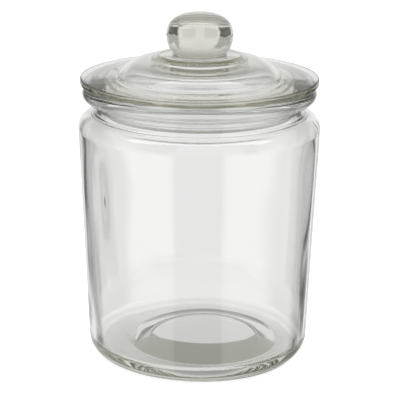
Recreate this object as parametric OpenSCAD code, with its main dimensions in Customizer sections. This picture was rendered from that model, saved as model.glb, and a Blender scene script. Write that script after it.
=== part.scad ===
// Round glass storage jar with a pressed glass lid and a clear finned sealing ring.
// Millimetres, +Z up. The origin is the centre of the ring that the jar stands on.

/* [Jar body] */
// Diameter at the widest place, just under the shoulder
body_d = 140; // [132:1:150]
// Diameter at the foot, where the wall meets the rounded heel
foot_d = 129.3; // [126:0.1:131]
// Height of the widest place
shoulder_z = 136.7; // [120:0.1:160]
// Radius of the rounded shoulder
shoulder_r = 7.7; // [6:0.1:9]
// Radius of the rounded heel
heel_r = 11.2; // [8:0.1:13]
// Thickness of the wall
wall_t = 3.5; // [3:0.1:4.5]
// Radius of the corner between wall and floor, inside
floor_corner_r = 3.8; // [3:0.1:6]

/* [Base] */
// Height of the floor at the foot of the wall
floor_z = 7.9; // [7:0.1:9]
// How much higher the floor is in the middle
floor_crown = 4.3; // [2:0.1:5]
// Thickness of the glass in the middle
base_t = 4.8; // [4:0.1:5.5]
// Diameter of the hollow underneath
punt_d = 85; // [80:1:92]
// How much higher the hollow is in the middle than at its sloping rim
punt_crown = 1.4; // [0:0.1:2]

/* [Neck and lip] */
// Outside diameter of the neck
neck_d = 123; // [121:0.5:125]
// Inside diameter of the mouth
mouth_d = 114; // [110:0.5:115]
// Outside diameter of the lip's bead
lip_d = 135; // [133:0.5:137]
// Radius of the lip's bead
lip_bead_r = 4; // [3.5:0.1:4.5]
// Height from the shoulder's widest place to the top of the lip
neck_h = 23.9; // [22.5:0.1:26]

/* [Lid] */
// Diameter of the flange
flange_d = 137.4; // [130:0.1:142]
// Thickness of the flange at its edge
flange_t = 3.9; // [3:0.1:5]
// Diameter at the foot of the dome
dome_foot_d = 94; // [90:1:96]
// Height of the dome above its foot
dome_h = 9.8; // [7:0.1:12]
// Diameter of the raised disc under the knob
disc_d = 48; // [44:1:52]
// Height of the raised disc's edge
disc_h = 1.6; // [1:0.1:2.5]
// Thickness of the dome
dome_t = 5; // [4:0.1:6]
// Outside diameter of the hollow plug under the flange
plug_d = 106.4; // [105:0.1:106.4]
// Depth of the plug below the flange
plug_h = 17; // [16.6:0.1:22]
// Thickness of the plug's wall
plug_t = 4.4; // [3.5:0.1:5]

/* [Knob] */
// Diameter of the knob
knob_d = 38.2; // [34:0.1:42]
// Height of the knob's mould line above the raised disc
knob_equator_h = 11.2; // [9.5:0.1:12]
// Height of the knob above its mould line
knob_top_h = 12.9; // [11:0.1:16]
// Squareness of the knob's outline; 2 is an ellipse
knob_power = 2.4; // [2:0.1:3]

/* [Seal ring] */
// Number of thin fins
fin_count = 5; // [3:1:6]
// Distance from one fin to the next
fin_pitch = 1.7; // [1.5:0.1:1.8]
// Thickness of the collar between lip and flange
collar_t = 1.5; // [1:0.1:2]
// Outside diameter of the collar
collar_d = 124; // [120:1:128]
// Thickness of the ring's sleeve
sleeve_t = 1.1; // [0.9:0.1:1.3]

/* [Hidden] */
$fn = 180;

glass_tint = [0.84, 0.88, 0.86, 0.45];
seal_tint = [0.93, 0.94, 0.95, 0.7];

gap = 0.3;                                      // free space between parts that move apart
arc_n = 10;                                     // straight steps in one rounded stretch
body_r = body_d / 2;
foot_r = foot_d / 2;
neck_r = neck_d / 2;
mouth_r = mouth_d / 2;
taper = atan((body_r - foot_r) / (shoulder_z - heel_r));
lip_top_z = shoulder_z + neck_h;
lip_bead_z = lip_top_z - lip_bead_r;
lip_bead_x = lip_d / 2 - lip_bead_r;
lip_edge_r = 1.5;                               // rounding of the lip's inner edge
lip_root_r = 1.5;                               // hollow corner between lip and neck
shoulder_end_a = 80;                            // angle at which the shoulder turns into the neck
shoulder_x = body_r - shoulder_r;
shoulder_thinning = 1.7;                        // the inner shoulder's radius is smaller by this much
shoulder_drop = 2.2;                            // the inner shoulder's centre is lower by this much
mouth_end_z = shoulder_z + 6.2;                 // lower end of the mouth's straight wall
mouth_edge = 0.7;                               // bevel at the mouth's lower end
bearing_edge = 1.2;                             // width of the bevel inside the standing ring
punt_slope_w = 12;                              // width of the hollow's sloping rim
punt_rim_z = floor_z + floor_crown - base_t - punt_crown;

flange_z = lip_top_z + collar_t;
flange_top_z = flange_z + flange_t;
flange_edge_r = 0.85;
flange_rise = 1.4;                              // the flange's top climbs this much to the dome's foot
dome_foot_z = flange_top_z + flange_rise;
dome_foot_r = dome_foot_d / 2;
disc_r = disc_d / 2;
disc_edge_r = 0.7;
disc_slope_w = 0.6;                             // how far the disc's edge spreads at its foot
disc_foot_z = dome_foot_z + dome_h;
disc_z = disc_foot_z + disc_h;
knob_r = knob_d / 2;
knob_z = disc_z + knob_equator_h;
knob_bottom_h = 14.4;                           // half height of the oval that the underside follows
plug_r = plug_d / 2;
plug_end_z = flange_z - plug_h;
plug_in_r = plug_r - plug_t;
plug_bead_r = 0.9;                              // bead that keeps the ring on the plug
plug_end_r = 1;                                 // rounding of the plug's inner edge
hollow_z = dome_foot_z - dome_t - 0.2;          // where the plug's inner wall turns into the roof
hollow_corner_r = 2;
roof_step_w = 3.3;                              // the roof's step lies this far outside the disc's
roof_step_h = 1.8;
roof_step_slope_w = 0.6;                        // how far the roof's step spreads at its foot
roof_foot_in = 1.6;                             // the roof's foot lies this far inside the dome's
roof_crown = 0.4;

sleeve_r = plug_r + gap;
sleeve_out_r = sleeve_r + sleeve_t;
sleeve_end_z = plug_end_z + 2 * plug_bead_r + gap;
fin_tip_r = mouth_r - gap;
fin_root_t = 0.8;
fin_root_in = 0.3;                              // how far a fin's root reaches into the sleeve
fin_tip_t = 0.4;
fin_lift = 0.5;                                 // how much higher a fin's tip is than its root
first_fin_z = sleeve_end_z + 0.6;

// Points of a round stretch about [cx, cz], from angle a0 to a1.
function arc(cx, cz, r, a0, a1, n = arc_n) =
    [for (i = [0:n]) let (a = a0 + (a1 - a0) * i / n) [cx + r * cos(a), cz + r * sin(a)]];

// Points of a squared oval about [0, cz]: t = 90 is on the axis, t = 0 on the widest line.
function oval(half_w, half_h, cz, t0, t1, n) =
    [for (i = [0:n]) let (t = t0 + (t1 - t0) * i / n)
        [half_w * pow(cos(t), 2 / knob_power),
         cz + half_h * sign(sin(t)) * pow(abs(sin(t)), 2 / knob_power)]];

// A shallow crown: the height above its edge at radius r of a disc with radius edge_r.
function crown(r, edge_r, h) = h * (1 - pow(r / edge_r, 2));

// The dome's fall below the raised disc: gentle at first, steep at the foot.
function dome_fall(u) = dome_h * (0.19 * u + 0.81 * pow(u, 3.2));

function dome_points(x0, x1, top_z, n) =
    [for (i = [0:n]) let (u = i / n) [x0 + (x1 - x0) * u, top_z - dome_fall(u)]];

// Outside of the jar, from the middle of the hollow underneath to the top of the lip.
function jar_outside() =
    let (rim_r = punt_d / 2 - punt_slope_w,
         s_end = [shoulder_x + shoulder_r * cos(shoulder_end_a),
                  shoulder_z + shoulder_r * sin(shoulder_end_a)],
         root_r = (s_end[0] - neck_r) / (1 - cos(shoulder_end_a)),
         root_c = s_end + root_r * [cos(shoulder_end_a), sin(shoulder_end_a)])
    concat(
        [for (i = [0:8]) [rim_r * i / 8, punt_rim_z + crown(i / 8, 1, punt_crown)]],
        [[punt_d / 2, bearing_edge / 2], [punt_d / 2 + bearing_edge, 0]],
        arc(foot_r - heel_r, heel_r, heel_r, -90, -taper),
        arc(shoulder_x, shoulder_z, shoulder_r, -taper, shoulder_end_a),
        arc(root_c[0], root_c[1], root_r, 180 + shoulder_end_a, 180, 6),
        arc(neck_r + lip_root_r, lip_bead_z - lip_bead_r - lip_root_r, lip_root_r, 180, 90, 6),
        arc(lip_bead_x, lip_bead_z, lip_bead_r, -90, 90, 16));

// Inside of the jar, from the lip down to the middle of the floor.
function jar_inside() =
    let (in_low_r = foot_r - wall_t, in_high_r = body_r - wall_t,
         in_shoulder_r = shoulder_r - shoulder_thinning,
         corner_z = floor_z + floor_corner_r,
         edge_r = in_low_r - floor_corner_r)
    concat(
        arc(mouth_r + lip_edge_r, lip_top_z - lip_edge_r, lip_edge_r, 90, 180, 6),
        [[mouth_r, mouth_end_z + mouth_edge], [mouth_r + mouth_edge, mouth_end_z]],
        arc(in_high_r - in_shoulder_r, shoulder_z - shoulder_drop, in_shoulder_r, 75, -taper),
        arc(in_low_r - floor_corner_r, corner_z, floor_corner_r, -taper, -90),
        [for (i = [7:-1:0]) [edge_r * i / 8, floor_z + crown(i / 8, 1, floor_crown)]]);

module glass_jar() {
    color(glass_tint)
        rotate_extrude()
            polygon(concat(jar_outside(), jar_inside()));
}

// Outside of the lid, from the top of the knob to the end of the plug.
function lid_outside() =
    let (foot_t = asin(pow(knob_equator_h / knob_bottom_h, knob_power / 2)))
    concat(
        oval(knob_r, knob_top_h, knob_z, 90, 0, 18),
        oval(knob_r, knob_bottom_h, knob_z, -foot_t / 12, -foot_t, 11),
        arc(disc_r - disc_edge_r, disc_z - disc_edge_r, disc_edge_r, 90, 0, 4),
        dome_points(disc_r + disc_slope_w, dome_foot_r, disc_foot_z, 12),
        [[dome_foot_r + 1.5, dome_foot_z - 0.5]],
        arc(flange_d / 2 - flange_edge_r, flange_top_z - flange_edge_r, flange_edge_r, 88, 0, 5),
        arc(flange_d / 2 - flange_edge_r, flange_z + flange_edge_r, flange_edge_r, 0, -90, 5),
        [[plug_r, flange_z], [plug_r, plug_end_z + 2 * plug_bead_r]],
        arc(plug_r, plug_end_z + plug_bead_r, plug_bead_r, 90, -90, 8));

// Hollow underneath the lid, from the plug's end to the middle of the roof.
function lid_hollow() =
    let (roof_z = disc_foot_z - dome_t,
         roof = dome_points(disc_r + roof_step_w, dome_foot_r - roof_foot_in, roof_z, 8))
    concat(
        arc(plug_in_r + plug_end_r, plug_end_z + plug_end_r, plug_end_r, -90, -180, 4),
        arc(plug_in_r - hollow_corner_r, hollow_z - hollow_corner_r, hollow_corner_r, 0, 90, 4),
        [for (i = [len(roof) - 1:-1:0]) roof[i]],
        [[disc_r + roof_step_w - roof_step_slope_w, roof_z + roof_step_h],
         [0, roof_z + roof_step_h + roof_crown]]);

module glass_lid() {
    color(glass_tint)
        rotate_extrude()
            polygon(concat(lid_outside(), lid_hollow()));
}

// One fin in section, rooted in the sleeve and leaning upwards.
module fin(z) {
    polygon([
        [sleeve_out_r - fin_root_in, z],
        [fin_tip_r, z + fin_lift],
        [fin_tip_r, z + fin_lift + fin_tip_t],
        [sleeve_out_r - fin_root_in, z + fin_root_t]]);
}

module seal_ring() {
    color(seal_tint)
        rotate_extrude()
            union() {
                translate([sleeve_r, sleeve_end_z])
                    square([sleeve_t, flange_z - sleeve_end_z]);
                translate([sleeve_r, lip_top_z])
                    square([collar_d / 2 - sleeve_r, collar_t]);
                for (i = [0:fin_count - 1])
                    fin(first_fin_z + i * fin_pitch);
            }
}

glass_jar();
glass_lid();
seal_ring();
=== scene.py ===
"""Looks of the lidded glass jar: a blown glass body, a pressed glass lid and a clear finned sealing ring.

Outlines are in millimetres, as (r, z) round the jar's own axis. Meshes are in metres.
"""

import math

import bpy
import numpy as np
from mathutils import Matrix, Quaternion, Vector


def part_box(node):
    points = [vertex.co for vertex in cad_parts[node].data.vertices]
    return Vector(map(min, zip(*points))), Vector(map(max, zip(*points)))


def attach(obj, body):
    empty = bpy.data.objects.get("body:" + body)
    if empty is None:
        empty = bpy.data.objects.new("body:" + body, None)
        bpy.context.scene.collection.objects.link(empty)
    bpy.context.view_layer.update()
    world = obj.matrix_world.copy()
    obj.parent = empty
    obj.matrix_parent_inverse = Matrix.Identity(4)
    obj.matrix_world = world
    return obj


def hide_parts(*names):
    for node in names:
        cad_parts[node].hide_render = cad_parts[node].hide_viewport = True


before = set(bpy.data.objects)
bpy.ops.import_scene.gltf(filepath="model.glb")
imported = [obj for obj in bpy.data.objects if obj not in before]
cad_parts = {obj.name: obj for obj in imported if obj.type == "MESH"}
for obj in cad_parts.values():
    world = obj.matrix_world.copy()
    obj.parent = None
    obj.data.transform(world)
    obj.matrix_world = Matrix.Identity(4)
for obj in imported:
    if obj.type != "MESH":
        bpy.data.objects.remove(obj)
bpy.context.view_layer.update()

MM = 0.001


def half_width(node):
    """Largest radius of a CAD node, in mm."""
    low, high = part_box(node)
    return high.x / MM


def bottom(node):
    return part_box(node)[0].z / MM


def top(node):
    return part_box(node)[1].z / MM


# ---------------------------------------------------------------- sizes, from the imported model

BODY_R = half_width("glass_jar")        # widest place, under the shoulder
LIP_Z = top("glass_jar")
FLANGE_R = half_width("glass_lid")
KNOB_TOP_Z = top("glass_lid")
PLUG_END_Z = bottom("glass_lid")
FLANGE_Z = top("seal_ring")             # underside of the flange, on the ring's collar
RING_END_Z = bottom("seal_ring")
COLLAR_R = half_width("seal_ring")
SKIN = 0.06                             # air left where the soft ring rests on glass

# Jar
SHOULDER_Z = LIP_Z - 23.9
SHOULDER_FILLET = 7.7
FOOT_R = BODY_R - 5.35                  # where the wall meets the rounded heel
HEEL_FILLET = 11.2
WALL_T = 3.5
WALL_SLOPE = (BODY_R - FOOT_R) / (SHOULDER_Z - HEEL_FILLET)
SHOULDER_EDGE_Z = SHOULDER_Z + 6.41     # where wall and shoulder would meet without the fillet
SHOULDER_IN_Z = SHOULDER_Z + 2.2        # the same inside
SHOULDER_IN_FILLET = 6.0
NECK_FOOT_Z = SHOULDER_Z + 7.96
NECK_FOOT_FILLET = 2.5
NECK_R = 61.5
MOUTH_R = 57.0
MOUTH_FILLET = 1.5
MOUTH_END_Z = SHOULDER_Z + 6.2
MOUTH_END_FILLET = 2.0
LIP_R = 67.5
LIP_BEAD_R = 4.0
BEAD_SLACK = 0.001                      # keeps the two fillets of a full round a little apart
FLOOR_Z = 7.9
FLOOR_CROWN = 4.3
FLOOR_FILLET = 3.8
STAND_IN_R = 44.0                       # inner edge of the ring that the jar stands on
STAND_OUT_R = 53.4
STAND_FILLET = 0.8
PUNT_R = 42.6                           # foot of the push-up's slope, and its height
PUNT_FOOT_Z = 0.4
PUNT_FOOT_FILLET = 12.0
PUNT_RIM_R = 30.5
PUNT_RIM_Z = 6.0
PUNT_RIM_FILLET = 14.0
PUNT_CROWN = 1.4
PUNT_SHIFT = 3.3                        # the push-up of a blown jar is never quite central

# Lid
FLANGE_T = 3.9
FLANGE_FILLET = 0.85
DOME_FOOT_R = 47.0
DOME_FOOT_Z = FLANGE_Z + FLANGE_T + 1.4
DOME_FOOT_FILLET = 0.8
DOME_H = 9.8
DOME_CONE = 0.19                        # share of its fall that is even all the way
DOME_POWER = 3.2                        # how late the rest of the fall comes
DISC_R = 24.0
DISC_FILLET = 0.7
DISC_FOOT_R = 24.6
DISC_FOOT_Z = DOME_FOOT_Z + DOME_H
DISC_FOOT_FILLET = 0.5
DISC_Z = DISC_FOOT_Z + 1.6
DOME_T = 5.0
PLUG_R = 53.2
PLUG_FILLET = 0.25
PLUG_IN_R = 48.8
PLUG_END_FILLET = 1.0
PLUG_BEAD_R = 0.9
HOLLOW_Z = DOME_FOOT_Z - DOME_T - 0.2
HOLLOW_FILLET = 2.0
ROOF_Z = DISC_FOOT_Z - DOME_T
ROOF_IN_R = 27.3                        # foot of the step in the roof
ROOF_STEP_W = 0.6
ROOF_STEP_H = 1.8
ROOF_STEP_FILLET = 0.4
ROOF_CROWN = 0.4
ROOF_FILLET = 0.5
ROOF_FOOT_R = DOME_FOOT_R - 1.6
KNOB_R = 19.1
KNOB_Z = DISC_Z + 11.2
KNOB_TOP_H = KNOB_TOP_Z - KNOB_Z
KNOB_BOTTOM_H = 14.4
KNOB_POWER = 2.4
KNOB_SEAM_Z = KNOB_Z + 0.2
KNOB_FOOT_H = 1.6                       # where its underside turns into the fillet on the disc
KNOB_FOOT_FILLET = 0.8

# Sealing ring
SLEEVE_R = PLUG_R + 0.3
SLEEVE_OUT_R = SLEEVE_R + 1.1
FIN_COUNT = 5
FIN_PITCH = 1.7
FIN_TIP_R = MOUTH_R - 0.3
FIN_ROOT_T = 0.8
FIN_TIP_T = 0.4
FIN_LIFT = 0.5
FIRST_FIN_Z = RING_END_Z + 0.6
SLEEVE_FILLET = 0.2
COLLAR_FILLET = 0.3
FIN_ROOT_FILLET = 0.12
FIN_TIP_FILLET = 0.15


# ---------------------------------------------------------------- outlines

ARC_STEP = math.radians(8)              # turn between two rows of a rounded corner
SMALL_FILLET = 0.4                      # up to this radius a corner needs fewer rows
SMALL_ARC_STEP = math.radians(20)
LEAST_TURN = 0.0001                     # a corner that turns less than this has no fillet
ROW_GAP = 3.2                           # widest gap between two rows, in mm
CROWN_MARGIN = 6.0                      # room that a crowned face leaves for the fillet at its edge


def rounded(corners, closed=False):
    """Rows (r, z, direction r, direction z) of an outline whose corners (r, z, fillet) are rounded."""
    rows = []
    count = len(corners)
    inward = Vector((1, 0))
    for i, (r, z, fillet) in enumerate(corners):
        here = Vector((r, z))
        before = Vector(corners[i - 1][:2]) if closed or i > 0 else here - inward
        after = Vector(corners[(i + 1) % count][:2]) if closed or i < count - 1 else here - inward
        way_in, way_out = (here - before).normalized(), (after - here).normalized()
        turn = -way_in.angle_signed(way_out)
        if fillet == 0 or abs(turn) < LEAST_TURN:
            way = (way_in + way_out).normalized()
            if r == 0:
                way = Vector((1 if i == 0 else -1, 0))
            rows.append((r, z, way.x, way.y))
            continue
        cut = fillet * math.tan(abs(turn) / 2)
        side = 1 if turn > 0 else -1
        start = here - way_in * cut
        centre = start + Vector((-way_in.y, way_in.x)) * fillet * side
        steps = max(2, math.ceil(abs(turn) / (ARC_STEP if fillet > SMALL_FILLET else SMALL_ARC_STEP)))
        for k in range(steps + 1):
            angle = turn * k / steps
            c, s = math.cos(angle), math.sin(angle)
            arm = start - centre
            point = centre + Vector((arm.x * c - arm.y * s, arm.x * s + arm.y * c))
            way = Vector((way_in.x * c - way_in.y * s, way_in.x * s + way_in.y * c))
            rows.append((point.x, point.y, way.x, way.y))
    return rows


def spread(rows, gap=ROW_GAP, closed=False):
    """The same rows, with more between them wherever two are further apart than gap(r, z)."""
    full = []
    pairs = zip(rows, rows[1:] + rows[:1]) if closed else zip(rows, rows[1:])
    for a, b in pairs:
        length = math.hypot(b[0] - a[0], b[1] - a[1])
        limit = gap((a[0] + b[0]) / 2, (a[1] + b[1]) / 2) if callable(gap) else gap
        steps = max(1, math.ceil(length / limit))
        for k in range(steps):
            t = k / steps
            r, z, x, y = ((1 - t) * p + t * q for p, q in zip(a, b))
            size = math.hypot(x, y)
            full.append((r, z, x / size, y / size))
    if not closed:
        full.append(rows[-1])
    return np.array(full)


def outer_wall(z):
    return FOOT_R + WALL_SLOPE * (z - HEEL_FILLET)


def crown(r, edge_r, height):
    return height * (1 - (r / edge_r) ** 2)


def dome_fall(u):
    """Fall of the dome from the disc's foot, u = 0, to its own foot, u = 1."""
    return DOME_H * (DOME_CONE * u + (1 - DOME_CONE) * u ** DOME_POWER)


def jar_outline():
    """From the middle of the hollow underneath, over the lip, to the middle of the floor."""
    floor_edge_r = outer_wall(FLOOR_Z) - WALL_T
    under = [(r, PUNT_RIM_Z + crown(r, PUNT_RIM_R, PUNT_CROWN), 0)
             for r in np.linspace(0, PUNT_RIM_R - CROWN_MARGIN, 11)]
    outside = [
        (PUNT_RIM_R, PUNT_RIM_Z, PUNT_RIM_FILLET),
        (PUNT_R, PUNT_FOOT_Z, PUNT_FOOT_FILLET),
        (STAND_IN_R, 0, STAND_FILLET),
        (outer_wall(0), 0, HEEL_FILLET),
        (outer_wall(SHOULDER_EDGE_Z), SHOULDER_EDGE_Z, SHOULDER_FILLET),
        (NECK_R, NECK_FOOT_Z, NECK_FOOT_FILLET),
        (NECK_R, LIP_Z - 2 * LIP_BEAD_R, MOUTH_FILLET),
        (LIP_R, LIP_Z - 2 * LIP_BEAD_R, LIP_BEAD_R - BEAD_SLACK),
        (LIP_R, LIP_Z, LIP_BEAD_R - BEAD_SLACK),
    ]
    inside = [
        (MOUTH_R, LIP_Z, MOUTH_FILLET),
        (MOUTH_R, MOUTH_END_Z, MOUTH_END_FILLET),
        (outer_wall(SHOULDER_IN_Z) - WALL_T, SHOULDER_IN_Z, SHOULDER_IN_FILLET),
        (floor_edge_r, FLOOR_Z, FLOOR_FILLET),
    ]
    floor = [(r, FLOOR_Z + crown(r, floor_edge_r, FLOOR_CROWN), 0)
             for r in np.linspace(floor_edge_r - CROWN_MARGIN, 0, 14)]
    return rounded(under + outside + inside + floor)


def lid_outline():
    """From the middle of the roof, round the plug and the flange, to the top of the knob."""
    roof = [
        (0, ROOF_Z + ROOF_STEP_H + ROOF_CROWN, 0),
        (ROOF_IN_R - ROOF_STEP_W, ROOF_Z + ROOF_STEP_H, ROOF_FILLET),
        (ROOF_IN_R, ROOF_Z, ROOF_STEP_FILLET),
    ]
    roof += [(ROOF_IN_R + (ROOF_FOOT_R - ROOF_IN_R) * u, ROOF_Z - dome_fall(u), 0)
             for u in np.linspace(0.12, 0.95, 12)]
    plug = [
        (PLUG_IN_R, HOLLOW_Z, HOLLOW_FILLET),
        (PLUG_IN_R, PLUG_END_Z, PLUG_END_FILLET),
        (PLUG_R + PLUG_BEAD_R, PLUG_END_Z, PLUG_BEAD_R - BEAD_SLACK),
        (PLUG_R + PLUG_BEAD_R, PLUG_END_Z + 2 * PLUG_BEAD_R, PLUG_BEAD_R - BEAD_SLACK),
        (PLUG_R, PLUG_END_Z + 2 * PLUG_BEAD_R, 0),
        (PLUG_R, FLANGE_Z, PLUG_FILLET),
        (FLANGE_R, FLANGE_Z, FLANGE_FILLET),
        (FLANGE_R, FLANGE_Z + FLANGE_T, FLANGE_FILLET),
        (DOME_FOOT_R, DOME_FOOT_Z, DOME_FOOT_FILLET),
    ]
    dome = [(DISC_FOOT_R + (DOME_FOOT_R - DISC_FOOT_R) * u, DISC_FOOT_Z - dome_fall(u), 0)
            for u in np.linspace(0.93, 0.08, 18)]
    foot_t = math.asin(((KNOB_Z - DISC_Z - KNOB_FOOT_H) / KNOB_BOTTOM_H) ** (KNOB_POWER / 2))
    disc = [(DISC_FOOT_R, DISC_FOOT_Z, DISC_FOOT_FILLET), (DISC_R, DISC_Z, DISC_FILLET)]
    knob = [(knob_point(-foot_t, KNOB_BOTTOM_H)[0] - KNOB_FOOT_H, DISC_Z, KNOB_FOOT_FILLET)]
    knob += [knob_point(-t, KNOB_BOTTOM_H) + (0,) for t in np.linspace(foot_t, 0.03, 26)]
    knob += [knob_point(t, KNOB_TOP_H) + (0,) for t in np.linspace(0.0, math.pi / 2, 40)]
    return rounded(roof + plug + dome + disc + knob)


def knob_point(t, half_h):
    """A point of the knob's squared oval: t = 0 on its widest line, t = pi/2 on the axis."""
    across, up = abs(math.cos(t)) ** (2 / KNOB_POWER), abs(math.sin(t)) ** (2 / KNOB_POWER)
    if abs(math.cos(t)) < 1e-9:
        across = 0.0
    return (KNOB_R * across, KNOB_Z + math.copysign(half_h * up, t))


def ring_outline():
    """The ring's section: sleeve, collar and fins, counted anticlockwise from the sleeve's lower end."""
    corners = [(SLEEVE_R, RING_END_Z, SLEEVE_FILLET), (SLEEVE_OUT_R, RING_END_Z, SLEEVE_FILLET)]
    for i in range(FIN_COUNT):
        z = FIRST_FIN_Z + i * FIN_PITCH
        corners += [
            (SLEEVE_OUT_R, z, FIN_ROOT_FILLET),
            (FIN_TIP_R, z + FIN_LIFT, FIN_TIP_FILLET),
            (FIN_TIP_R, z + FIN_LIFT + FIN_TIP_T, FIN_TIP_FILLET),
            (SLEEVE_OUT_R, z + FIN_ROOT_T, FIN_ROOT_FILLET),
        ]
    corners += [
        (SLEEVE_OUT_R, LIP_Z + SKIN, FIN_TIP_FILLET),
        (COLLAR_R, LIP_Z + SKIN, COLLAR_FILLET),
        (COLLAR_R, FLANGE_Z - SKIN, COLLAR_FILLET),
        (SLEEVE_R, FLANGE_Z - SKIN, COLLAR_FILLET),
    ]
    return rounded(corners, closed=True)


# ---------------------------------------------------------------- meshes

LEAST_R = 0.5                           # nearer the axis than this, in mm, slopes round it are held


def even_angles(count):
    return np.linspace(0, 2 * math.pi, count, endpoint=False)


def seam_angles(count, seams, half_width_rad):
    """Even angles, with a few more across each mould seam."""
    extra = [s + k * half_width_rad for s in seams for k in (-1.5, -1, -0.5, 0, 0.5, 1, 1.5)]
    return np.unique(np.concatenate([even_angles(count), np.mod(extra, 2 * math.pi)]))


def revolve(name, rows, angles, relief=None, closed=False):
    """A closed surface from rows swept round the Z axis.

    relief(r, z, nr, nz, angle) says how far it stands out along its normal (nr, nz), in mm.
    """
    r, z, way_r, way_z = (rows[:, k][:, None] for k in range(4))
    nr, nz = way_z, -way_r
    phi = angles[None, :]
    height = relief(r, z, nr, nz, phi) if relief else np.zeros((len(rows), len(angles)))
    along = np.concatenate([[0], np.cumsum(np.hypot(np.diff(rows[:, 0]), np.diff(rows[:, 1])))])
    lapped = np.concatenate([height[:, -1:], height, height[:, :1]], axis=1)
    lapped_phi = np.concatenate([[angles[-1] - 2 * math.pi], angles, [angles[0] + 2 * math.pi]])
    slope_round = np.gradient(lapped, lapped_phi, axis=1)[:, 1:-1] / np.maximum(r, LEAST_R)
    slope_along = np.gradient(height, along, axis=0)
    out_r = r + nr * height
    out_z = z + nz * height
    co = np.stack([out_r * np.cos(phi), out_r * np.sin(phi), out_z + 0 * phi], axis=-1) * MM
    norm_r, norm_z = nr - slope_along * way_r, nz - slope_along * way_z
    normals = np.stack([
        norm_r * np.cos(phi) + slope_round * np.sin(phi),
        norm_r * np.sin(phi) - slope_round * np.cos(phi),
        norm_z + 0 * phi], axis=-1)
    normals /= np.linalg.norm(normals, axis=-1, keepdims=True)

    count, turns = height.shape
    first, last = (0 if closed else 1), (count if closed else count - 1)
    ring_rows = range(first, last)
    place = {row: (row - first) * turns for row in ring_rows}
    verts = co[first:last].reshape(-1, 3)
    norms = normals[first:last].reshape(-1, 3)
    j = np.arange(turns)
    k = (j + 1) % turns
    faces = []
    steps = range(first, last) if closed else range(first, last - 1)
    for row in steps:
        a, b = place[row], place[(row + 1) % count if closed else row + 1]
        faces.append(np.stack([a + j, a + k, b + k, b + j], axis=1))
    quads = np.concatenate(faces).tolist()
    if not closed:
        low, high = len(verts), len(verts) + 1
        verts = np.vstack([verts, co[0, 0], co[-1, 0]])
        norms = np.vstack([norms, (0, 0, nz[0, 0]), (0, 0, nz[-1, 0])])
        start, end = place[first], place[last - 1]
        quads += [(low, start + b, start + a) for a, b in zip(j.tolist(), k.tolist())]
        quads += [(high, end + a, end + b) for a, b in zip(j.tolist(), k.tolist())]
    mesh = bpy.data.meshes.new(name)
    mesh.from_pydata(verts.tolist(), [], quads)
    mesh.shade_smooth()
    mesh.normals_split_custom_set_from_vertices(norms.tolist())
    piece = bpy.data.objects.new(name, mesh)
    bpy.context.scene.collection.objects.link(piece)
    return piece


JAR_SEAMS = (math.radians(-8), math.radians(172))   # where the two halves of the blow mould met
SEAM_WIDTH = 0.35
SEAM_HEIGHT = 0.07
STIPPLE_COUNT = 90                      # dots round the standing ring
STIPPLE_DEPTH = 0.02
STIPPLE_IN_R = 49.0
STIPPLE_OUT_R = STAND_OUT_R + 1.5
STIPPLE_PITCH = 2.2
STIPPLE_GAP = 0.55                      # between two rows there
SWELL = 0.10                            # size of the slow waves in the blown inner wall, in mm of glass
# Places where the blown wall is thicker: azimuth, height, reach round, reach in height, mm of glass
WAVES = (
    (214, 100, 7.0, 34, 0.70),
    (222, 62, 6.0, 20, 0.35),
    (341, 60, 8.0, 26, 0.14),
    (334, 112, 7.0, 26, 0.35),
    (232, 26, 5.0, 8, 0.50),
)


KNOB_SEAM_H = 0.18                      # the ridge round the knob: height and half width
KNOB_SEAM_W = 0.45
CREASE_DEPTH = 0.22                     # the crease at the dome's foot
CREASE_W = 0.4
RELIEF_REACH = 1.0                      # closer rows this far to each side of the ridge and the crease
RELIEF_GAP = 0.15
LID_GAP = 2.4


def smooth_step(x, low, high):
    t = np.clip((x - low) / (high - low), 0, 1)
    return t * t * (3 - 2 * t)


def turn_from(phi, start):
    """The angle from start to phi, between -pi and pi."""
    return np.mod(phi - start + math.pi, 2 * math.pi) - math.pi


def jar_relief(r, z, nr, nz, phi):
    """Mould seams outside, slow waves in the blown inner wall, and stippling under the standing ring."""
    outside = smooth_step(nr, 0.5, 0.8) * (z < SHOULDER_Z + 8)
    seam = sum(np.exp(-(turn_from(phi, start) * r / SEAM_WIDTH) ** 2) for start in JAR_SEAMS)
    inside = smooth_step(-nr, 0.5, 0.9) * smooth_step(z, 14, 30) * smooth_step(SHOULDER_Z - z, 0, 15)
    waves = SWELL * (np.sin(3 * phi + 0.031 * z + 0.7) + 0.6 * np.sin(7 * phi - 0.052 * z)
                     + 0.5 * np.sin(0.11 * z + 2 * phi))
    for turn, height, half_turn, half_height, thickness in WAVES:
        aside = turn_from(phi, math.radians(turn)) / math.radians(half_turn)
        waves = waves + thickness * np.exp(-aside ** 2 - ((z - height) / half_height) ** 2)
    standing = smooth_step(r, STIPPLE_IN_R, STIPPLE_IN_R + 1) * smooth_step(STIPPLE_OUT_R - r, 0, 1.5)
    standing = standing * (nz < -0.9)
    dots = 0.5 + 0.5 * np.cos(STIPPLE_COUNT * phi) * np.cos(2 * math.pi * (r - STAND_IN_R) / STIPPLE_PITCH)
    return SEAM_HEIGHT * seam * outside + waves * inside - STIPPLE_DEPTH * dots * standing


def lid_relief(r, z, nr, nz, phi):
    """The ridge round the knob, where the press mould's parts met, and the crease at the dome's foot."""
    seam = KNOB_SEAM_H * np.exp(-((z - KNOB_SEAM_Z) / KNOB_SEAM_W) ** 2)
    crease = CREASE_DEPTH * np.exp(-((r - DOME_FOOT_R) / CREASE_W) ** 2) * (nz > 0.5)
    return seam - crease + 0 * phi


def jar_gap(r, z):
    """Closer rows on the standing ring, for its stippling."""
    on_ring = z < 0.05 and STAND_IN_R - 1 < r < STAND_OUT_R + 1
    return STIPPLE_GAP if on_ring else ROW_GAP


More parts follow.
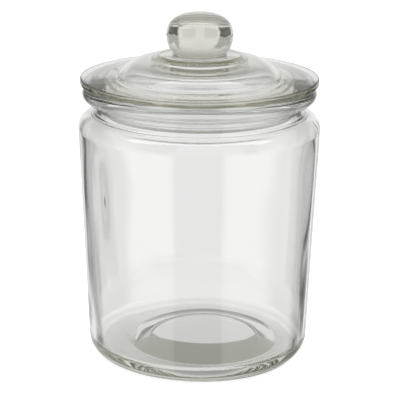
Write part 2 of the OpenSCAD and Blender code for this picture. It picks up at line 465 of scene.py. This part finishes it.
def lid_gap(r, z):
    """Closer rows at the knob's ridge and at the crease."""
    at_ridge = abs(z - KNOB_SEAM_Z) < RELIEF_REACH
    at_crease = abs(r - DOME_FOOT_R) < RELIEF_REACH and z > FLANGE_Z + FLANGE_T
    return RELIEF_GAP if at_ridge or at_crease else LID_GAP


# ---------------------------------------------------------------- materials

def node(tree, kind, inputs=None, **settings):
    """A shader node with its settings, and its inputs as numbers or linked sockets."""
    made = tree.nodes.new(kind)
    for key, value in settings.items():
        setattr(made, key, value)
    for key, value in (inputs or {}).items():
        if isinstance(value, bpy.types.NodeSocket):
            tree.links.new(value, made.inputs[key])
        else:
            made.inputs[key].default_value = value
    return made


GLASS_IOR = 1.52
SEAL_IOR = 1.5
SMEAR_SCALE = 22.0                      # of the faint smears on the glass
SMEAR_ROUGHNESS = 0.02
SCUFF_ROUGHNESS = 0.35                  # where the jar rubs on the shelf
SCUFF_Z = (0.0002, 0.0006)              # all of it below the first height, none above the second, in metres
STREAK_SCALE = 60.0                     # of the seal's flow streaks
STREAK_DEPTH = 0.00003
SEAL_ROUGHNESS = (0.08, 0.16)


def new_material(name):
    material = bpy.data.materials.new(name)
    material.use_nodes = True
    material.node_tree.nodes.clear()
    return material, material.node_tree


def glass_material(name, wave_size, wave_depth, peel_size, peel_depth, tint, density):
    """Soda-lime glass: a faint olive tint by depth, slow waves and a fine peel in its surface."""
    material, tree = new_material(name)
    place = node(tree, "ShaderNodeTexCoord").outputs["Object"]
    waves = node(tree, "ShaderNodeTexNoise", {"Vector": place, "Scale": 1 / wave_size, "Detail": 1.0})
    peel = node(tree, "ShaderNodeTexNoise", {"Vector": place, "Scale": 1 / peel_size, "Detail": 2.0})
    slow = node(tree, "ShaderNodeBump",
                {"Height": waves.outputs["Fac"], "Distance": wave_depth, "Strength": 1.0})
    fine = node(tree, "ShaderNodeBump",
                {"Height": peel.outputs["Fac"], "Distance": peel_depth, "Strength": 1.0,
                 "Normal": slow.outputs["Normal"]})
    smear = node(tree, "ShaderNodeTexNoise", {"Vector": place, "Scale": SMEAR_SCALE, "Detail": 4.0})
    rough = node(tree, "ShaderNodeMapRange",
                 {"Value": smear.outputs["Fac"], "From Min": 0.55, "From Max": 0.8,
                  "To Min": 0.0, "To Max": SMEAR_ROUGHNESS})
    height = node(tree, "ShaderNodeSeparateXYZ", {"Vector": place}).outputs["Z"]
    scuffed = node(tree, "ShaderNodeMapRange",
                   {"Value": height, "From Min": SCUFF_Z[0], "From Max": SCUFF_Z[1],
                    "To Min": SCUFF_ROUGHNESS, "To Max": 0.0})
    roughness = node(tree, "ShaderNodeMath", {0: rough.outputs["Result"], 1: scuffed.outputs["Result"]},
                     operation="MAXIMUM")
    surface = node(tree, "ShaderNodeBsdfPrincipled",
                   {"Base Color": (1.0, 1.0, 1.0, 1), "Roughness": roughness.outputs["Value"],
                    "IOR": GLASS_IOR, "Transmission Weight": 1.0, "Normal": fine.outputs["Normal"]})
    depth = node(tree, "ShaderNodeVolumeAbsorption", {"Color": tint + (1,), "Density": density})
    out = node(tree, "ShaderNodeOutputMaterial")
    tree.links.new(surface.outputs["BSDF"], out.inputs["Surface"])
    tree.links.new(depth.outputs["Volume"], out.inputs["Volume"])
    return material


def seal_material(name):
    """Clear soft plastic, a little milky, with the faint streaks of its moulding."""
    material, tree = new_material(name)
    place = node(tree, "ShaderNodeTexCoord").outputs["Object"]
    flow = node(tree, "ShaderNodeMapping", {"Vector": place, "Scale": (1, 1, 6)})
    streaks = node(tree, "ShaderNodeTexNoise",
                   {"Vector": flow.outputs["Vector"], "Scale": STREAK_SCALE, "Detail": 3.0})
    rough = node(tree, "ShaderNodeMapRange",
                 {"Value": streaks.outputs["Fac"], "From Min": 0.3, "From Max": 0.7,
                  "To Min": SEAL_ROUGHNESS[0], "To Max": SEAL_ROUGHNESS[1]})
    bump = node(tree, "ShaderNodeBump",
                {"Height": streaks.outputs["Fac"], "Distance": STREAK_DEPTH, "Strength": 1.0})
    surface = node(tree, "ShaderNodeBsdfPrincipled",
                   {"Base Color": (0.95, 0.955, 0.96, 1), "Roughness": rough.outputs["Result"],
                    "IOR": SEAL_IOR, "Transmission Weight": 1.0, "Normal": bump.outputs["Normal"]})
    out = node(tree, "ShaderNodeOutputMaterial")
    tree.links.new(surface.outputs["BSDF"], out.inputs["Surface"])
    return material


# ---------------------------------------------------------------- studio

PAINTED_SHADOW_MIDDLE = (0.002, 0.0, 0)        # middle of the painted shadow line where the jar meets the paper, in metres
PAINTED_SHADOW_R = 55.0
PAINTED_SHADOW_SOFT = 2.0
PAINTED_SHADOW_LIGHT = 0.10                    # light left in it
PAPER_GREY = 0.5
PAPER_GLOW = 0.85
FLOOR_R = 3.5                           # in metres
FLOOR_SIDES = 96


def floor_material():
    """White paper that glows, so that the jar's shadow stays faint, with a painted shadow line where the
    jar meets it.
    """
    material, tree = new_material("floor_paper")
    place = node(tree, "ShaderNodeTexCoord").outputs["Object"]
    # painted shadow: a thin dark ring round the jar's foot darkens the paper's colour and its glow
    reach = vector_node(tree, "DISTANCE", place, PAINTED_SHADOW_MIDDLE, "Value")
    shade = node(tree, "ShaderNodeMapRange",
                 {"Value": reach, "From Min": PAINTED_SHADOW_R * MM, "From Max": (PAINTED_SHADOW_R + PAINTED_SHADOW_SOFT) * MM,
                  "To Min": PAINTED_SHADOW_LIGHT, "To Max": 1.0},
                 interpolation_type="SMOOTHSTEP").outputs["Result"]
    paper = node(tree, "ShaderNodeBsdfDiffuse", {"Color": math_node(tree, "MULTIPLY", shade, PAPER_GREY)})
    glow = node(tree, "ShaderNodeEmission",
                {"Color": (1, 1, 1, 1), "Strength": math_node(tree, "MULTIPLY", shade, PAPER_GLOW)})
    both = node(tree, "ShaderNodeAddShader", {0: paper.outputs["BSDF"], 1: glow.outputs["Emission"]})
    out = node(tree, "ShaderNodeOutputMaterial")
    tree.links.new(both.outputs["Shader"], out.inputs["Surface"])
    return material


def disc(name, radius, z, material):
    """A flat round face, in metres."""
    mesh = bpy.data.meshes.new(name)
    ring = [(radius * math.cos(a), radius * math.sin(a), z) for a in even_angles(FLOOR_SIDES)]
    mesh.from_pydata(ring, [], [list(range(FLOOR_SIDES))])
    mesh.materials.append(material)
    made = bpy.data.objects.new(name, mesh)
    bpy.context.scene.collection.objects.link(made)
    return made


def make_floor():
    """A pale round floor that only the camera sees: the tent lights the glass, not the floor's edge."""
    floor = disc("floor", FLOOR_R, 0, floor_material())
    floor.visible_glossy = False
    floor.visible_transmission = False


CONTACT_SHADE = (   # painted light and shade of the paper under the jar, by radius in mm
    (0, 0.70),
    (42, 0.70),
    (46, 0.76),
    (56, 0.82),
    (60, 0.80),
    (65, 0.78),
    (70, 0.84),
    (84, 0.94),
)
CONTACT_FADE = (0.8, 1.0)               # where it fades out, as a share of the last radius
SHADOW_Z = -0.0001                      # just under the paper, in metres
UNDER_R = 42.0                          # reach of the painted darker half under the push-up, in mm
UNDER_EDGE = (4.5, -4.0)                # where it begins: the middle of its bowed edge
UNDER_BOW = 44.0                        # radius of that edge
UNDER_EDGE_SOFT = 2.5
UNDER_SOFT = 2.0
UNDER_LOSS = (0.56, 0.55, 0.61)         # share of red, green and blue light that it loses
SIDE_SHADOW = (62, 78, 0.85)               # painted shadow on the paper beside the heel: radii in mm, share of light it loses
SIDE_SHADOW_SOFT = 3.0
SIDE_SHADOW_WAY = (0.72, -0.69, 0)         # the way it lies from the jar's axis
SIDE_SHADOW_START = 60.0                   # how far out along that way it begins, in mm
SIDE_SHADOW_START_SOFT = 10.0
SHADOW_BLUE = 0.98                      # the painted shade is a little warm


def shadow_material():
    """The paper under and round the jar as a glow, with painted shade where the jar's base keeps the light
    off it.
    """
    material, tree = new_material("contact_shadow")
    place = node(tree, "ShaderNodeTexCoord").outputs["Object"]
    flat = vector_node(tree, "MULTIPLY", place, (1, 1, 0))
    reach = vector_node(tree, "DISTANCE", flat, (0, 0, 0), "Value")
    widest = CONTACT_SHADE[-1][0]
    share = math_node(tree, "DIVIDE", reach, widest * MM)
    ramp = node(tree, "ShaderNodeValToRGB", {"Fac": share})
    stops = ramp.color_ramp.elements
    while len(stops) < len(CONTACT_SHADE):
        stops.new(0.5)
    for stop, (radius, shade) in zip(stops, CONTACT_SHADE):
        stop.position = radius / widest
        stop.color = (shade, shade, shade * SHADOW_BLUE, 1)
    # painted shade: the darker half under the push-up, seen through the base
    middle = (UNDER_EDGE[0] * MM, (UNDER_EDGE[1] + UNDER_BOW) * MM, 0)
    beyond = vector_node(tree, "DISTANCE", flat, middle, "Value")
    aside = vector_node(tree, "DISTANCE", flat, (PUNT_SHIFT * MM, 0, 0), "Value")
    under = math_node(tree, "MULTIPLY", band(tree, beyond, UNDER_BOW * MM, 1.0, UNDER_EDGE_SOFT * MM),
                      band(tree, aside, -1.0, UNDER_R * MM, UNDER_SOFT * MM))
    loss = vector_node(tree, "MULTIPLY", UNDER_LOSS, under)
    left = vector_node(tree, "SUBTRACT", (1, 1, 1), loss)
    colour = vector_node(tree, "MULTIPLY", ramp.outputs["Color"], left)
    # painted shadow on the paper beside the heel, on one side of the jar only
    ahead = vector_node(tree, "DOT_PRODUCT", flat, SIDE_SHADOW_WAY, "Value")
    low, high, share_lost = SIDE_SHADOW
    out_there = band(tree, ahead, SIDE_SHADOW_START * MM, 1.0, SIDE_SHADOW_START_SOFT * MM)
    in_side_shadow = band(tree, reach, low * MM, high * MM, SIDE_SHADOW_SOFT * MM)
    beside = math_node(tree, "MULTIPLY", out_there, in_side_shadow)
    strength = math_node(tree, "MULTIPLY_ADD", beside, -share_lost, 1.0)
    # the disc glows with its painted light and shade; it is no lamp
    glow = node(tree, "ShaderNodeEmission", {"Color": colour, "Strength": strength})
    clear = node(tree, "ShaderNodeBsdfTransparent")
    fade = node(tree, "ShaderNodeMapRange",
                {"Value": share, "From Min": CONTACT_FADE[0], "From Max": CONTACT_FADE[1],
                 "To Min": 0.0, "To Max": 1.0}).outputs["Result"]
    both = node(tree, "ShaderNodeMixShader",
                {0: fade, 1: glow.outputs["Emission"], 2: clear.outputs["BSDF"]})
    out = node(tree, "ShaderNodeOutputMaterial")
    tree.links.new(both.outputs["Shader"], out.inputs["Surface"])
    return material


def make_contact_shadow():
    """A glowing disc of the floor with its light and shade painted on, that shows only through the glass
    and in its reflections.
    """
    shadow = disc("contact_shadow", CONTACT_SHADE[-1][0] * MM, SHADOW_Z, shadow_material())
    shadow.visible_camera = False
    shadow.visible_diffuse = False
    shadow.visible_shadow = False


def vector_node(tree, operation, a, b, output="Vector"):
    return node(tree, "ShaderNodeVectorMath", {0: a, 1: b}, operation=operation).outputs[output]


def math_node(tree, operation, a, b=0.0, c=None):
    inputs = {0: a, 1: b}
    if c is not None:
        inputs[2] = c
    return node(tree, "ShaderNodeMath", inputs, operation=operation).outputs["Value"]


def band(tree, value, low, high, soft):
    """1 where value lies between low and high, falling to 0 over soft on each side."""
    rise = node(tree, "ShaderNodeMapRange",
                {"Value": value, "From Min": low - soft, "From Max": low, "To Min": 0.0, "To Max": 1.0},
                interpolation_type="SMOOTHSTEP").outputs["Result"]
    fall = node(tree, "ShaderNodeMapRange",
                {"Value": value, "From Min": high, "From Max": high + soft, "To Min": 1.0, "To Max": 0.0},
                interpolation_type="SMOOTHSTEP").outputs["Result"]
    return math_node(tree, "MULTIPLY", rise, fall)


SKY = (  # brightness of the light tent, by the sine of the direction's elevation
    (-1.0, 0.885),
    (-0.25, 0.885),
    (0.0, 0.875),
    (0.14, 0.84),
    (0.30, 0.54),
    (0.50, 0.38),
    (0.87, 0.40),
    (1.0, 0.45),
)


RAGGED_SCALE = 3.0                      # of the noise that bends the edges of the ragged cards
RAGGED_TURN = 0.5                       # how far it bends them round the jar, in radians from side to side
RAGGED_RISE = 0.3                       # and up or down, as a sine of elevation
RAGGED_SOFT = 7                         # degrees over which a card fades at its sides
STRAIGHT_SOFT = 2
PANEL_SOFT = 7
CARD_RISE_SOFT = 4                      # and at its top and bottom
GROUND_WHITE = 1.03                     # what the camera sees behind everything


def sine(degrees):
    return math.sin(math.radians(degrees))


def sector(tree, turn, z, azimuth, reach, low, high, soft):
    """1 for directions within reach degrees of azimuth, and between low and high degrees of elevation."""
    facing = math_node(tree, "COSINE", math_node(tree, "SUBTRACT", turn, math.radians(azimuth)))
    edge = math.cos(math.radians(reach))
    wide = band(tree, facing, edge, 2.0, edge - math.cos(math.radians(reach + soft)))
    tall = band(tree, z, sine(low), sine(high), sine(CARD_RISE_SOFT))
    return math_node(tree, "MULTIPLY", wide, tall)


# Cards in the tent: azimuth, reach to each side, lowest and highest elevation, share of light taken
RAGGED_FLAGS = (  # dark cards with uneven edges
    (45, 15, -24, -8, 0.88),
    (135, 15, -19, -8, 0.88),
    (45, 14, -8, 8, 0.45),
    (135, 14, -8, 8, 0.50),
    (225, 15, -2, 10, 0.75),
    (315, 15, -2, 10, 0.75),
)
FLAGS = (  # dark cards with straight edges
    (270, 24, -60, -5, 0.55),
    (104, 8, -27, -8, 0.15),
    (76, 8, -27, -8, 0.11),
)
PANELS = (  # bright cards, with the light they add
    (213, 25, -50, -6, 0.18),
    (327, 25, -50, -6, 0.18),
)


def make_world():
    """A light tent with dark and bright cards in it, on a white ground for the camera."""
    world = bpy.data.worlds.new("tent")
    bpy.context.scene.world = world
    world.use_nodes = True
    tree = world.node_tree
    tree.nodes.clear()
    way = node(tree, "ShaderNodeTexCoord").outputs["Generated"]
    split = node(tree, "ShaderNodeSeparateXYZ", {"Vector": way})
    x, y, z = (split.outputs[axis] for axis in "XYZ")
    turn = math_node(tree, "ARCTAN2", y, x)
    share = node(tree, "ShaderNodeMapRange", {"Value": z, "From Min": -1, "From Max": 1}).outputs["Result"]
    ramp = node(tree, "ShaderNodeValToRGB", {"Fac": share})
    stops = ramp.color_ramp.elements
    while len(stops) < len(SKY):
        stops.new(0.5)
    for stop, (height, shade) in zip(stops, SKY):
        stop.position = (height + 1) / 2
        stop.color = (shade, shade, shade, 1)
    light = ramp.outputs["Color"]
    ragged = node(tree, "ShaderNodeTexNoise", {"Vector": way, "Scale": RAGGED_SCALE, "Detail": 1.0})
    sway = node(tree, "ShaderNodeSeparateXYZ", {"Vector": ragged.outputs["Color"]})
    ragged_turn = math_node(tree, "MULTIPLY_ADD", sway.outputs["X"], RAGGED_TURN,
                            math_node(tree, "SUBTRACT", turn, RAGGED_TURN / 2))
    ragged_z = math_node(tree, "MULTIPLY_ADD", sway.outputs["Y"], RAGGED_RISE,
                         math_node(tree, "SUBTRACT", z, RAGGED_RISE / 2))
    cards = [(ragged_turn, ragged_z, RAGGED_SOFT) + flag for flag in RAGGED_FLAGS]
    cards += [(turn, z, STRAIGHT_SOFT) + flag for flag in FLAGS]
    for card_turn, card_z, soft, azimuth, reach, low, high, loss in cards:
        card = sector(tree, card_turn, card_z, azimuth, reach, low, high, soft)
        light = math_node(tree, "MULTIPLY", light, math_node(tree, "MULTIPLY_ADD", card, -loss, 1.0))
    for azimuth, reach, low, high, gain in PANELS:
        panel = sector(tree, turn, z, azimuth, reach, low, high, PANEL_SOFT)
        light = math_node(tree, "ADD", light, math_node(tree, "MULTIPLY", panel, gain))
    seen = node(tree, "ShaderNodeLightPath").outputs["Is Camera Ray"]
    both = node(tree, "ShaderNodeMix", {0: seen, 2: light, 3: GROUND_WHITE}, data_type="FLOAT")
    ground = node(tree, "ShaderNodeBackground", {"Color": (1, 1, 1, 1), "Strength": both.outputs[0]})
    out = node(tree, "ShaderNodeOutputWorld")
    tree.links.new(ground.outputs["Background"], out.inputs["Surface"])


def softbox(name, azimuth, elevation, distance, width, height, watts):
    """A rectangular lamp that faces the jar, sizes in metres. Azimuth is measured from +X towards +Y."""
    data = bpy.data.lights.new(name, "AREA")
    data.shape = "RECTANGLE"
    data.size, data.size_y = width, height
    data.energy = watts
    lamp = bpy.data.objects.new(name, data)
    a, e = math.radians(azimuth), math.radians(elevation)
    way = Vector((math.cos(a) * math.cos(e), math.sin(a) * math.cos(e), math.sin(e)))
    lamp.location = Vector((0, 0, 0.1)) + way * distance
    lamp.rotation_mode = "QUATERNION"
    lamp.rotation_quaternion = (-way).to_track_quat("-Z", "Y")
    lamp.visible_camera = False
    lamp.visible_transmission = False
    bpy.context.scene.collection.objects.link(lamp)


CAMERA_PITCH = 15.98                    # degrees down
CAMERA_ROLL = 0.45
CAMERA_DISTANCE = 0.95                  # in metres, from CAMERA_MIDDLE
CAMERA_MIDDLE = (0, 0, 95)
CAMERA_AIM = (0.775, -0.887, 91.9)
CAMERA_LENS = 145.57


def make_camera():
    """A long lens in front of the jar, that looks down at it a little."""
    pitch = math.radians(CAMERA_PITCH)
    back = Vector((0, -math.cos(pitch), math.sin(pitch)))
    data = bpy.data.cameras.new("camera")
    data.lens = CAMERA_LENS
    camera = bpy.data.objects.new("camera", data)
    bpy.context.scene.collection.objects.link(camera)
    camera.location = Vector(CAMERA_MIDDLE) * MM + back * CAMERA_DISTANCE
    aim = Vector(CAMERA_AIM) * MM
    camera.rotation_mode = "QUATERNION"
    roll = Quaternion((0, 0, 1), math.radians(CAMERA_ROLL))
    camera.rotation_quaternion = (aim - camera.location).to_track_quat("-Z", "Y") @ roll
    bpy.context.scene.camera = camera


def set_light_paths():
    """Rays cross many faces of glass before they leave the jar, and colours are shown as they are."""
    scene = bpy.context.scene
    scene.view_settings.view_transform = "Standard"
    scene.cycles.max_bounces = 48
    scene.cycles.transmission_bounces = 48
    scene.cycles.glossy_bounces = 24
    scene.cycles.transparent_max_bounces = 16


# ---------------------------------------------------------------- the object

SHIFT_TOP_Z = FLOOR_Z + FLOOR_CROWN + 1     # just over the floor's crown


def shift_push_up(piece):
    """Moves the hollow under the jar sideways, with the floor over it, inside the standing ring only."""
    for vert in piece.data.vertices:
        reach = math.hypot(vert.co.x, vert.co.y) / MM
        if vert.co.z < SHIFT_TOP_Z * MM:
            vert.co.x += PUNT_SHIFT * MM * float(smooth_step(-reach, -STAND_OUT_R, -STAND_IN_R))


JAR_SIDES = 348
LID_SIDES = 288
RING_SIDES = 288
RING_GAP = 1.2


def make_jar():
    angles = seam_angles(JAR_SIDES, JAR_SEAMS, SEAM_WIDTH / BODY_R)
    jar = revolve("jar_body", spread(jar_outline(), jar_gap), angles, jar_relief)
    shift_push_up(jar)
    jar.data.materials.append(glass_material(
        "blown_glass", wave_size=0.030, wave_depth=0.00004, peel_size=0.004, peel_depth=0.000002,
        tint=(0.52, 0.55, 0.37), density=6.0))
    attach(jar, "jar")
    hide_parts("glass_jar")


def make_lid():
    lid = revolve("lid_with_knob", spread(lid_outline(), lid_gap), even_angles(LID_SIDES), lid_relief)
    lid.data.materials.append(glass_material(
        "pressed_glass", wave_size=0.016, wave_depth=0.00005, peel_size=0.003, peel_depth=0.000004,
        tint=(0.54, 0.53, 0.36), density=13.0))
    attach(lid, "lid")
    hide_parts("glass_lid")


def make_ring():
    rows = spread(ring_outline(), RING_GAP, closed=True)
    ring = revolve("sealing_ring", rows, even_angles(RING_SIDES), closed=True)
    ring.data.materials.append(seal_material("clear_seal"))
    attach(ring, "seal")
    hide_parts("seal_ring")


make_jar()
make_lid()
make_ring()
make_floor()
make_contact_shadow()
make_world()
softbox("overhead_softbox", azimuth=270, elevation=80, distance=1.2, width=2.6, height=0.6, watts=16.0)
make_camera()
set_light_paths()
